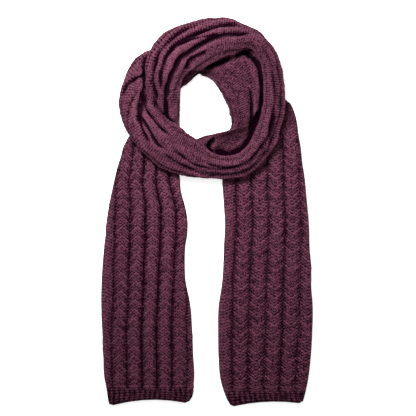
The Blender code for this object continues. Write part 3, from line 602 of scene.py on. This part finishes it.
def loft(rows, ribs, per_rib, relief_of, base=None, lower=()):
    """A stretch's rings, the heights of its underside and its painted light and shade, from the relief of
    each section.
    """
    sections = [section_of(row, number, ribs, per_rib) for number, row in enumerate(rows)]
    reliefs = [relief_of(section) for section in sections]
    plans = []
    for section, (relief, ahead, _) in zip(sections, reliefs):
        plan = section.middle + np.outer(section.at_x + section.lean_x * relief, section.side)
        bow = section.bow * (1 - (section.at_x / section.half) ** 2)
        plans.append(plan + np.outer(bow + ahead, section.ahead))
    if base is None:
        base = np.array([[max(section.floor, highest_below(lower, *point)) for point in plan]
                         for section, plan in zip(sections, plans)])
        base = evened(base) if lower else base
    lifts = np.array([section.at_lift for section in sections])
    top = np.maximum([section.crown for section in sections], base + THINNEST)
    heights, _, lights = (np.array(part) for part in zip(*reliefs))
    z = base + lifts * (top - base) + np.array([section.lean_z for section in sections]) * heights
    # painted light and shade: hollows darker and crowns lighter than their surroundings, plus each section's
    # own
    over = (heights - blurred(heights, SHADE_CELLS)) / SHADE_HEIGHT
    z = np.maximum(z, base + lifts * (top - base) * LEAST_SHARE)
    painted_light = 0.5 + 0.5 * np.tanh(over) + lights
    return [np.column_stack(ring) for ring in zip(plans, z)], base, painted_light


def ring_faces(rows, size):
    """Faces between neighbouring rings, and the section and point numbers of their corners."""
    row, point = (grid.ravel() for grid in np.meshgrid(np.arange(rows - 1), np.arange(size), indexing="ij"))
    at_row = np.column_stack((row, row, row + 1, row + 1))
    at_point = np.column_stack((point, point + 1, point + 1, point))
    return at_row * size + at_point % size, at_row, at_point


def strip(upper, lower, x):
    """Triangles between two chains of points from west to east that share their first and last points."""
    faces = []
    i = j = 0
    while i < len(upper) - 1 or j < len(lower) - 1:
        use_upper = j == len(lower) - 1 or (i < len(upper) - 1 and x[upper[i + 1]] <= x[lower[j + 1]])
        ahead = upper[i + 1] if use_upper else lower[j + 1]
        if len({lower[j], upper[i], ahead}) == 3:
            faces.append((lower[j], upper[i], ahead))
        i += use_upper
        j += not use_upper
    return faces


def flat_cap(ring, start):
    """The end of a flat stretch, which may be bowed: a strip from its top side to its underside."""
    size = len(ring)
    east = size - UNDER_POINTS - 1
    upper = list(range(east + 1))
    lower = [0, *range(size - 1, east, -1), east]
    return [tuple(start + corner for corner in face) for face in strip(upper, lower, ring[:, 0])]


def feeler_tree(rings):
    """A search tree of the skin between rings."""
    faces = ring_faces(len(rings), len(rings[0]))[0]
    return BVHTree.FromPolygons(np.concatenate(rings).tolist(), faces.tolist())


def in_cables(rib, cables):
    """1 at the points that lie between the first and last groove of the cable columns."""
    return ((rib > cables[0]) & (rib < cables[1])).astype(float)


def solid_relief(flat, depth, count, cables=NO_CABLES, folds=()):
    """The relief of a solid's sections, how far their points lie ahead, and no painted light or shade."""
    def relief_of(section):
        shown = smooth_step(section.at_lift, *(FLAT_FADE if flat else ROUND_FADE)) * section.free
        relief = depth * (np.abs(np.sin(math.pi * section.rib)) ** RIB_POWER - 1 + CROWN_SHARE)
        if not flat:
            on_top = smooth_step(section.at_lift, *TOP_FADE)
            relief = relief * (1 - (1 - TOP_RIB_SHARE) * on_top)
            relief = relief - on_top * fold_depth(folds, section, SOLID_SHARPNESS)
        knit = in_cables(section.rib, cables) * (0 < section.number < count - 1)
        turn = 1 if section.number % 2 else -1
        relief = relief + knit * CABLE_RELIEF * np.sin(math.pi * section.rib) ** 2 * turn
        point = cables[2] * knit * shown * CABLE_POINT * (1 - np.abs(2 * (section.rib % 1) - 1))
        return relief * shown, point, np.zeros(len(relief))
    return relief_of


def blurred(heights, cell):
    """A grid of heights, evened out over cells of that many sections and points."""
    rows, points = heights.shape
    along = np.fft.fftfreq(rows)[:, None] * cell[0]
    across = np.fft.rfftfreq(points)[None, :] * cell[1]
    kept = np.exp(-BLUR * (along ** 2 + across ** 2))
    return np.fft.irfft2(np.fft.rfft2(heights) * kept, s=heights.shape)


def lumps(rows, points):
    """The wool's small unevenness, a grid of heights in millimetres."""
    random = np.random.default_rng(SEED)
    total = np.zeros((rows, points))
    for cell, height in zip(LUMP_CELLS, LUMP_HEIGHTS):
        bumps = blurred(random.standard_normal((rows, points)), cell)
        total += bumps / bumps.std() * height
    return total


def end_relief(cables, grooves, count, border_count, uneven):
    """The relief of the skin of one end of the panel: the ribs of its border, then its cable columns, and
    their painted light and shade.
    """
    def relief_of(section):
        shown = smooth_step(section.at_lift, *FLAT_FADE) * section.free
        from_start = section.number * FINE_ROW
        along = from_start - border_count * FINE_ROW
        fade = smooth_step(min(along, (count - 1) * FINE_ROW - from_start), 0.0, END_FADE)
        share = smooth_step(along, -BORDER_BLEND, 0.0)
        aside = np.abs(2 * (section.rib % 1) - 1)
        phase = 2 * math.pi * (section.number / FINE_ROWS_PER_REPEAT)
        between = 0.5 - 0.5 * math.cos(phase)
        strand = (0.5 + 0.5 * math.cos(2 * phase)) ** 2

        knit = in_cables(section.rib, cables)
        inside = 1 - smooth_step(aside, *ARM_FADE)
        deep = np.interp(section.rib, np.arange(cables[0], cables[1] + 1), grooves)
        dent = ARM_DENT * np.exp(-(aside / ARM_DENT_WIDTH) ** 2)
        pit = between ** PIT_POWER * np.exp(-((aside - PIT_PLACE) / PIT_WIDTH) ** 2)
        arms = (STRAND_RELIEF * strand - ARM_RELIEF * between) * inside - PIT_DEPTH * pit - dent
        cable = deep * (np.abs(np.sin(math.pi * section.rib)) ** GROOVE_POWER - 1)
        cable = cable + RIB_DEPTH * CROWN_SHARE + knit * arms
        rib = np.abs(np.sin(math.pi * section.at_x / BORDER_PITCH))
        border = BORDER_GROOVE * (rib ** RIB_POWER - 1 + CROWN_SHARE)
        relief = border + (cable - border) * share + uneven[section.number]

        beyond = np.maximum(cables[0] - section.rib, section.rib - cables[1])
        band = 0.5 * np.clip(1 - beyond / BAND_BLEND, 0.0, 1.0)
        swept = -cables[2] * ARM_SWEEP * np.where(knit > 0, aside ** ARM_CURVE - 0.5, band)
        corner = smooth_step(np.abs(section.at_x) / section.half, CORNER_START, 1.0)
        cut = CORNER_ROUND * corner * (1 - smooth_step(from_start, 0.0, CORNER_LENGTH))

        # painted light on the Vs' arms and strands, painted shade in their pits and in the grooves' bottoms
        arm = math.cos(phase) * (1 - ARM_EVEN + ARM_EVEN * aside) * inside
        groove = np.exp(-((1 - aside) / GROOVE_WIDTH) ** 2)
        light = knit * (1 - groove) * (PAINTED_ARM_LIGHT * arm + PAINTED_STRAND_LIGHT * (2 * strand - 1) - PAINTED_PIT_SHADE * pit)
        light = light * fade - PAINTED_GROOVE_SHADE * deep * groove
        # painted light on the border's ribs, painted shade in its grooves
        painted_rib_light = PAINTED_BORDER_LIGHT * (rib - BORDER_MEAN)
        return relief * shown, swept * fade + cut, light * share + painted_rib_light * (1 - share)
    return relief_of


def crease_paths(creases, centre):
    """Creases with smooth paths in the tables' millimetres, from their paths in the picture."""
    paths = []
    for pixels, width, depth in creases:
        at = (np.array(pixels) - ORIGIN_PIXEL) * (MM_PER_PIXEL, -MM_PER_PIXEL) + centre[:2]
        paths.append((eased(np.column_stack((at, at)), CREASE_STEP)[:, :2], width, depth))
    return paths


def loop_relief(folds, creases, uneven):
    """The relief of the skin of a stretch of the loop: its folds, creases and what is left of its ribs, and
    painted shade in its folds and creases.
    """
    def relief_of(section):
        shown = smooth_step(section.at_lift, *ROUND_FADE)
        on_top = smooth_step(section.at_lift, *TOP_FADE)
        relief = LOOP_RIB_DEPTH * (np.abs(np.sin(math.pi * section.rib)) ** RIB_POWER - 1 + CROWN_SHARE)
        relief = relief * (1 - (1 - TOP_RIB_SHARE) * on_top)
        wave = np.sin(2 * math.pi * (section.table_place / FOLD_WAVE_ROWS + section.at_x / FOLD_WAVE_WIDTH))
        folded = fold_depth(folds, section, FOLD_SHARPNESS)
        folded = folded + crease_depth(creases, section.middle + np.outer(section.at_x, section.side))
        folded = FOLD_GAIN * (1 + FOLD_WAVE * wave) * folded
        relief = relief - on_top * folded + uneven[section.number]
        # painted shade in the deeper folds and creases on top
        return relief * shown, 0.0, -PAINTED_FOLD_SHADE * on_top * smooth_step(folded, *FOLD_SHADE)
    return relief_of


def finer(base, rows, per_rib):
    """The heights of a solid's underside, read at the sections and points of its skin."""
    count, size = base.shape
    at_row = np.linspace(0, count - 1, rows)
    low = np.minimum(at_row.astype(int), count - 2)
    along = base[low] + (at_row - low)[:, None] * (base[low + 1] - base[low])
    closed = np.column_stack((along, along[:, 0]))
    at_point = np.arange(LOOP_RIBS * per_rib) / per_rib * LOOP_POINTS_PER_RIB
    return np.array([np.interp(at_point, np.arange(size + 1), line) for line in closed])


def placed(name, data):
    """An object in the scene, from its mesh, light or camera."""
    made = bpy.data.objects.new(name, data)
    bpy.context.scene.collection.objects.link(made)
    return made


def rim(outer, inner):
    """Faces between two closed chains of points."""
    return np.column_stack((np.roll(outer, -1), outer, inner, np.roll(inner, -1)))


def add_skin(name, outer, closing, inner, painted_light, row_stitches, centre, material):
    """A skin as an object, from its rings, the faces that close it and the rings of its inner wall."""
    rows, size = len(outer), len(outer[0])
    points = (np.concatenate([*outer, *inner]) - (centre[0], centre[1], 0.0)) * MM
    faces, at_row, at_point = ring_faces(rows, size)
    mesh = bpy.data.meshes.new(name)
    mesh.from_pydata(points.tolist(), [], faces.tolist() + closing)
    stitches = np.zeros((len(mesh.loops), 2))
    shown = at_row.size
    stitches[:shown, 0] = at_point.ravel() / FINE_POINTS_PER_RIB * COLUMN_STITCHES
    stitches[:shown, 1] = at_row.ravel() / FINE_ROWS_PER_REPEAT * row_stitches
    mesh.uv_layers.new(name="stitches").data.foreach_set("uv", stitches.ravel())
    # each point's painted light and shade, an even middle value on the inner wall
    at_points = np.full(len(points), 0.5)
    at_points[:rows * size] = painted_light.ravel()
    mesh.attributes.new("painted_light", "FLOAT", "POINT").data.foreach_set("value", at_points)
    mesh.shade_smooth()
    mesh.materials.append(material)
    return placed(name, mesh)


def tube_walls(rings, base):
    """The rings of a tube's inner wall, and the faces of that wall and of both rims."""
    size = len(rings[0])
    top = np.array([ring[:, 2] for ring in rings])
    over = top - base
    near = np.min([np.roll(top, turn, axis=1) for turn in range(-INNER_POINTS, INNER_POINTS + 1)], axis=0)
    padded = np.pad(near, ((INNER_STEP, INNER_STEP), (0, 0)), mode="edge")
    lowest = np.min([padded[k:k + len(near)] for k in range(2 * INNER_STEP + 1)], axis=0)
    lowest = lowest - INNER_FLOOR - base
    kept = sorted({*range(0, len(rings), INNER_STEP), len(rings) - 1})
    inner = []
    for k in kept:
        middle = rings[k][:, :2].mean(axis=0)
        plan = middle + (rings[k][:, :2] - middle) * WALL_SHARE
        highest = np.maximum(over[k] * WALL_SHARE, INNER_RISE)
        inner.append(np.column_stack((plan, base[k] + np.clip(lowest[k], INNER_RISE, highest))))
    first = len(rings) * size
    wall = (first + ring_faces(len(kept), size)[0])[:, ::-1]
    chain = np.arange(size)
    start = rim(chain, first + chain)
    end = rim(first - size + chain, first + (len(kept) - 1) * size + chain)[:, ::-1]
    return inner, np.concatenate((wall, start, end)).tolist()


def solid_stretches():
    """The rings of all solids, and the heights of their undersides."""
    def flat(rows, ribs, depth, cables=NO_CABLES):
        relief = solid_relief(True, depth, len(rows), cables)
        return loft(rows, ribs, POINTS_PER_RIB, relief)[:2]

    def bunched(rows, folds=(), below=()):
        relief = solid_relief(False, LOOP_RIB_DEPTH, len(rows), folds=folds)
        lower = [feeler_tree(rings) for rings in below]
        return loft(rows, LOOP_RIBS, LOOP_POINTS_PER_RIB, relief, lower=lower)[:2]

    built = {}
    for side, border, tail, ribs, cables, _ in ENDS:
        rows = eased(border_rows(border), BORDER_ROW)
        built[f"{side}_border"] = flat(rows, BORDER_RIBS, BORDER_RIB_DEPTH)
        built[f"{side}_tail"] = flat(eased(tail_rows(tail), TAIL_ROW), ribs, RIB_DEPTH, cables)
    built["inner_strand"] = bunched(eased(loop_rows(INNER_STRAND), LOOP_ROW), INNER_FOLDS)
    left, right, inner = (built[name][0] for name in ("left_tail", "right_tail", "inner_strand"))
    front = eased(loop_rows(LOOP_FRONT), LOOP_ROW)
    front_end, front_end_base = bunched(front[-FRONT_END_ROWS:])
    inner[0] = front_end[-1].copy()
    top, top_base = bunched(eased(loop_rows(LOOP_TOP), LOOP_ROW), TOP_FOLDS, (right, inner, front_end))
    front_start, front_base = bunched(front[:-FRONT_END_ROWS], FRONT_FOLDS,
                                      (left, right, inner, top[:TOP_START_ROWS]))
    front_start[0] = top[-1].copy()
    front_base[0] = top_base[-1]
    built["loop_top"] = (top, top_base)
    built["loop_front"] = (front_start + front_end, np.concatenate((front_base, front_end_base)))
    return built


def end_rows(border, tail):
    """Fine sections of one end of the panel, and how many of them are its border's."""
    tail_part = eased(tail_rows(tail), FINE_ROW)
    border_part = eased(border_rows(border), FINE_ROW)[:-1]
    widths = np.linalg.norm(border_part[:, 2:4] - border_part[:, 0:2], axis=1)
    pitch, shift = LOOP_COLUMNS.index("pitch"), LOOP_COLUMNS.index("shift")
    border_part[:, pitch] = tail_part[0, pitch] * widths / (tail_part[0, 2] - tail_part[0, 0])
    border_part[:, shift] = tail_part[0, shift]
    return np.vstack((border_part, tail_part)), len(border_part)


def new_material(name):
    """A material and its shader."""
    made = bpy.data.materials.new(name)
    made.use_nodes = True
    return made, made.node_tree.nodes["Principled BSDF"]


def feed(node, inputs):
    """A node with its inputs linked or set."""
    for place, value in inputs.items():
        if isinstance(value, bpy.types.NodeSocket):
            node.id_data.links.new(value, node.inputs[place])
        else:
            node.inputs[place].default_value = value
    return node


def wool():
    """Plum wool: stitches in bump and in painted shade between them, fuzz, specks, painted shade in hollows,
    painted light on crowns and a slight sheen.
    """
    material, shader = new_material("plum_wool")
    tree = material.node_tree

    def number(operation, *inputs):
        made = tree.nodes.new("ShaderNodeMath")
        made.operation = operation
        return feed(made, dict(enumerate(inputs))).outputs[0]

    def noise(scale, detail):
        inputs = {"Vector": where, "Scale": scale, "Detail": detail}
        return feed(tree.nodes.new("ShaderNodeTexNoise"), inputs).outputs["Fac"]

    place = tree.nodes.new("ShaderNodeUVMap")
    place.uv_map = "stitches"
    split = feed(tree.nodes.new("ShaderNodeSeparateXYZ"), {"Vector": place.outputs["UV"]})
    across = number("FRACT", split.outputs["X"])
    leg = number("MULTIPLY", number("ABSOLUTE", number("SUBTRACT", across, 0.5)), 2.0)
    along = number("ADD", split.outputs["Y"], number("MULTIPLY", leg, STITCH_SLANT))
    row = number("SINE", number("MULTIPLY", number("FRACT", along), math.pi))
    legs = number("SINE", number("MULTIPLY", leg, math.pi))
    stitch = number("MULTIPLY", row, number("MULTIPLY_ADD", legs, *STITCH_LEGS))

    where = tree.nodes.new("ShaderNodeTexCoord").outputs["Object"]
    # the skin's painted light and shade, read from its mesh
    painted_light = tree.nodes.new("ShaderNodeAttribute")
    painted_light.attribute_name = "painted_light"
    share = number("MULTIPLY", painted_light.outputs["Fac"], PAINTED_LIGHT_SHARE)
    share = number("MULTIPLY_ADD", stitch, STITCH_SHARE, share)
    share = number("MULTIPLY_ADD", noise(*SPECK_NOISE), SPECK_SHARE, share)
    ramp = feed(tree.nodes.new("ShaderNodeValToRGB"), {"Fac": number("SUBTRACT", share, DARK_LEVEL)})
    for element, level, colour in zip(ramp.color_ramp.elements, (0.0, LIGHT_LEVEL), (WOOL_DARK, WOOL_LIGHT)):
        element.position = level
        element.color = (*colour, 1.0)
    bump = feed(tree.nodes.new("ShaderNodeBump"), {
        "Strength": BUMP_STRENGTH, "Distance": STITCH_HEIGHT * MM,
        "Height": number("MULTIPLY_ADD", noise(*FUZZ_NOISE), FUZZ_SHARE, stitch)})
    feed(shader, {
        "Base Color": ramp.outputs["Color"], "Normal": bump.outputs["Normal"], "Roughness": WOOL_ROUGHNESS,
        "Specular IOR Level": WOOL_SPECULAR, "Sheen Weight": SHEEN_WEIGHT,
        "Sheen Roughness": SHEEN_ROUGHNESS, "Sheen Tint": (*SHEEN_TINT, 1.0)})
    return material


def build():
    """The skins of all stretches, in the solids' places."""
    built = solid_stretches()
    everything = np.concatenate([ring for rings, _ in built.values() for ring in rings])
    centre = (everything.min(axis=0) + everything.max(axis=0)) / 2
    material = wool()
    pieces = {}
    for side, border, tail, ribs, cables, grooves in ENDS:
        rows, border_count = end_rows(border, tail)
        size = round((ribs[1] - ribs[0]) * FINE_POINTS_PER_RIB) + 1 + UNDER_POINTS
        relief = end_relief(cables, grooves, len(rows), border_count, lumps(len(rows), size))
        rings, _, painted_light = loft(rows, ribs, FINE_POINTS_PER_RIB, relief)
        for number, ring in enumerate(rings[:round(HEM_ROUND / FINE_ROW) + 1]):
            left = max(0.0, 1.0 - number * FINE_ROW / HEM_ROUND)
            ring[:, 2] *= max(HEM_LEAST, math.sqrt(1.0 - left * left))
        last = (len(rings) - 1) * size
        closing = [face[::-1] for face in flat_cap(rings[0], 0)] + flat_cap(rings[-1], last)
        pieces[side] = add_skin(f"knit_{side}_end", rings, closing, [], painted_light, ROW_STITCHES,
                                centre, material)
        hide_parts(f"{side}_border", f"{side}_tail")
    for name, table, folds, creases, shade in (
            ("loop_top", LOOP_TOP, TOP_FOLDS, TOP_CREASES, 0.0),
            ("loop_front", LOOP_FRONT, FRONT_SKIN_FOLDS, FRONT_CREASES, 0.0),
            ("inner_strand", INNER_STRAND, (), INNER_CREASES, PAINTED_HOLE_SHADE)):
        rows = eased(loop_rows(table), FINE_ROW)
        base = finer(built[name][1], len(rows), FINE_POINTS_PER_RIB)
        uneven = lumps(len(rows), LOOP_RIBS * FINE_POINTS_PER_RIB)
        relief = loop_relief(folds, crease_paths(creases, centre), uneven)
        rings, _, painted_light = loft(rows, LOOP_RIBS, FINE_POINTS_PER_RIB, relief, base=base)
        inner, closing = tube_walls(rings, base)
        # the inner strand is painted darker by its shade, as it lies in the hole of the loop
        pieces[name] = add_skin(f"knit_{name}", rings, closing, inner, painted_light - shade, LOOP_ROW_STITCHES,
                                centre, material)
        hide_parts(name)
    for piece in pieces.values():
        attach(piece, "root")
    return pieces


def add_floor():
    """A pale sheet of paper that glows a little."""
    mesh = bpy.data.meshes.new("floor")
    far = FLOOR_SIDE / 2
    corners = [(-far, -far, FLOOR_Z), (far, -far, FLOOR_Z), (far, far, FLOOR_Z), (-far, far, FLOOR_Z)]
    mesh.from_pydata(corners, [], [(0, 1, 2, 3)])
    paper, shader = new_material("paper")
    feed(shader, {"Base Color": (PAPER, PAPER, PAPER, 1.0), "Roughness": PAPER_ROUGHNESS,
                  "Emission Color": WHITE, "Emission Strength": PAPER_GLOW})
    mesh.materials.append(paper)
    placed("floor", mesh)


def add_lights(scene):
    """Two soft lights and an even sky."""
    for name, place, aim, side, spread, power in LIGHTS:
        light = bpy.data.lights.new(name, "AREA")
        light.shape = "DISK"
        light.size = side
        light.energy = power
        light.spread = math.radians(spread)
        lamp = placed(name, light)
        lamp.location = place
        lamp.rotation_euler = (Vector(aim) - Vector(place)).to_track_quat("-Z", "Y").to_euler()
    world = bpy.data.worlds.new("studio")
    world.use_nodes = True
    feed(world.node_tree.nodes["Background"], {"Color": WHITE, "Strength": SKY})
    scene.world = world
    scene.view_settings.view_transform = "Standard"


def add_camera(scene):
    """A camera that looks straight down at the middle of the picture."""
    optics = bpy.data.cameras.new("camera")
    optics.lens = LENS
    optics.sensor_width = SENSOR
    optics.clip_end = CAMERA_REACH
    camera = placed("camera", optics)
    pixel = MM_PER_PIXEL * MM
    middle = PHOTO_SIDE / 2
    camera.location = ((middle - ORIGIN_PIXEL[0]) * pixel, (ORIGIN_PIXEL[1] - middle) * pixel,
                       PHOTO_SIDE * pixel * LENS / SENSOR)
    scene.camera = camera


build()
add_floor()
add_lights(bpy.context.scene)
add_camera(bpy.context.scene)
